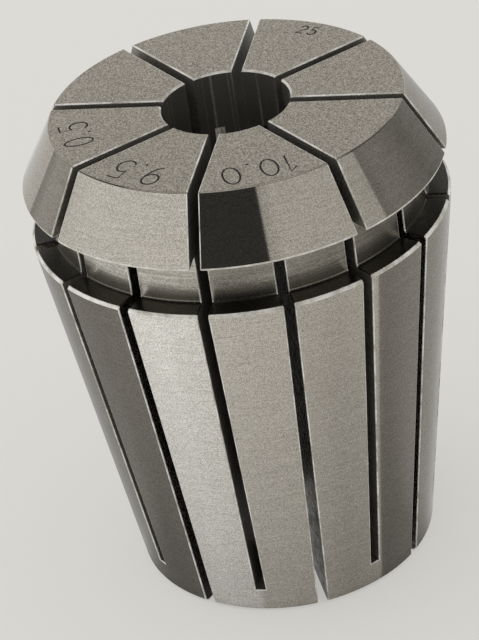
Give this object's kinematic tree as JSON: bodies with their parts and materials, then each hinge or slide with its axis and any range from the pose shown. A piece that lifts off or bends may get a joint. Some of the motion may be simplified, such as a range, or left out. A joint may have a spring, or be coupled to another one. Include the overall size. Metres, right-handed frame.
{
  "type": "er collet",
  "caption": "Double-slotted spring collet with a long shallow taper, an extraction groove, a coned head and a plain clamping bore.",
  "frame": {"origin": "centre of the small end, on the collet's axis", "axes": "+Z along the axis from the small end to the front face, +X and +Y each through a slot cut from the front face"},
  "size_m": [0.033, 0.033, 0.04],
  "materials": {
    "spring_steel": "hardened spring steel, ground bright on the taper, cone and bore, sawn in the slots"
  },
  "bodies": {
    "root": {"collet": "spring_steel"}
  },
  "joints": []
}
